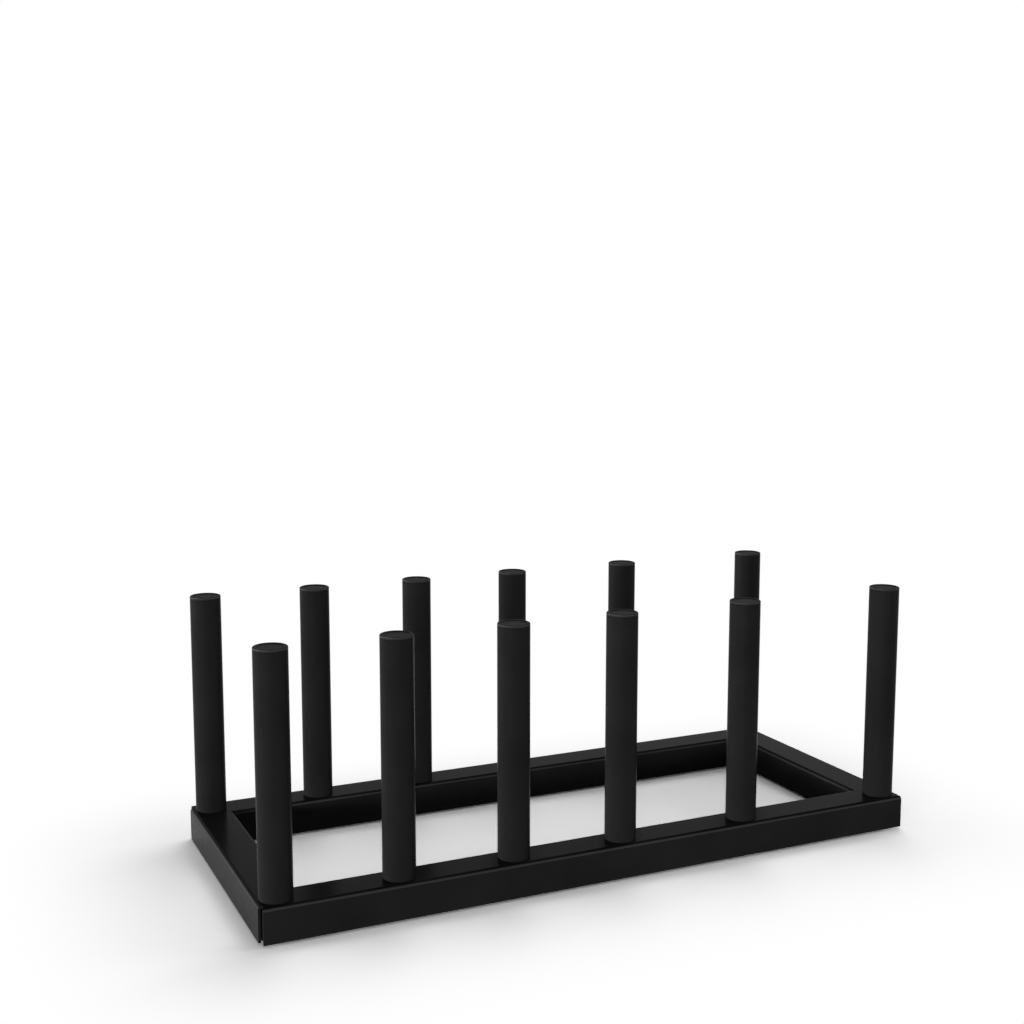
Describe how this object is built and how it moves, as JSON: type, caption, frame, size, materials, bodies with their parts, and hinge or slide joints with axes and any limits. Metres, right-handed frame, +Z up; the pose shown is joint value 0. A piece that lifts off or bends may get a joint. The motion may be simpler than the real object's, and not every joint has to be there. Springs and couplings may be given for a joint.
{
  "type": "pot lid rack",
  "caption": "Free-standing rack with a low black rectangular frame and paired upright posts that hold pot lids on edge in slots of several widths.",
  "frame": {"origin": "on the floor below the middle of the rack's outer box", "axes": "+X along the long rails towards the widest slot, -Y is the front, +Z up along the posts"},
  "size_m": [0.2714, 0.1126, 0.1015],
  "materials": {
    "black_powder_coat": "fine matte powder coat",
    "cap_plastic": "matte moulded",
    "zinc_steel": "bright zinc plate",
    "foot_rubber": "matte"
  },
  "bodies": {
    "root": {"front_rail": "black_powder_coat", "back_rail": "black_powder_coat", "left_end_rail": "black_powder_coat", "right_end_rail": "black_powder_coat", "post_front_1": "black_powder_coat", "cap_front_1": "cap_plastic", "thread_plug_front_1": "zinc_steel", "post_front_2": "black_powder_coat", "cap_front_2": "cap_plastic", "thread_plug_front_2": "zinc_steel", "post_front_3": "black_powder_coat", "cap_front_3": "cap_plastic", "thread_plug_front_3": "zinc_steel", "post_front_4": "black_powder_coat", "cap_front_4": "cap_plastic", "thread_plug_front_4": "zinc_steel", "post_front_5": "black_powder_coat", "cap_front_5": "cap_plastic", "thread_plug_front_5": "zinc_steel", "post_front_6": "black_powder_coat", "cap_front_6": "cap_plastic", "thread_plug_front_6": "zinc_steel", "screws_front": "zinc_steel", "post_back_1": "black_powder_coat", "cap_back_1": "cap_plastic", "thread_plug_back_1": "zinc_steel", "post_back_2": "black_powder_coat", "cap_back_2": "cap_plastic", "thread_plug_back_2": "zinc_steel", "post_back_3": "black_powder_coat", "cap_back_3": "cap_plastic", "thread_plug_back_3": "zinc_steel", "post_back_4": "black_powder_coat", "cap_back_4": "cap_plastic", "thread_plug_back_4": "zinc_steel", "post_back_5": "black_powder_coat", "cap_back_5": "cap_plastic", "thread_plug_back_5": "zinc_steel", "post_back_6": "black_powder_coat", "cap_back_6": "cap_plastic", "thread_plug_back_6": "zinc_steel", "screws_back": "zinc_steel", "corner_bracket_front_left": "black_powder_coat", "foot_front_left": "foot_rubber", "corner_bracket_front_right": "black_powder_coat", "foot_front_right": "foot_rubber", "corner_bracket_back_right": "black_powder_coat", "foot_back_right": "foot_rubber", "corner_bracket_back_left": "black_powder_coat", "foot_back_left": "foot_rubber"}
  },
  "joints": []
}
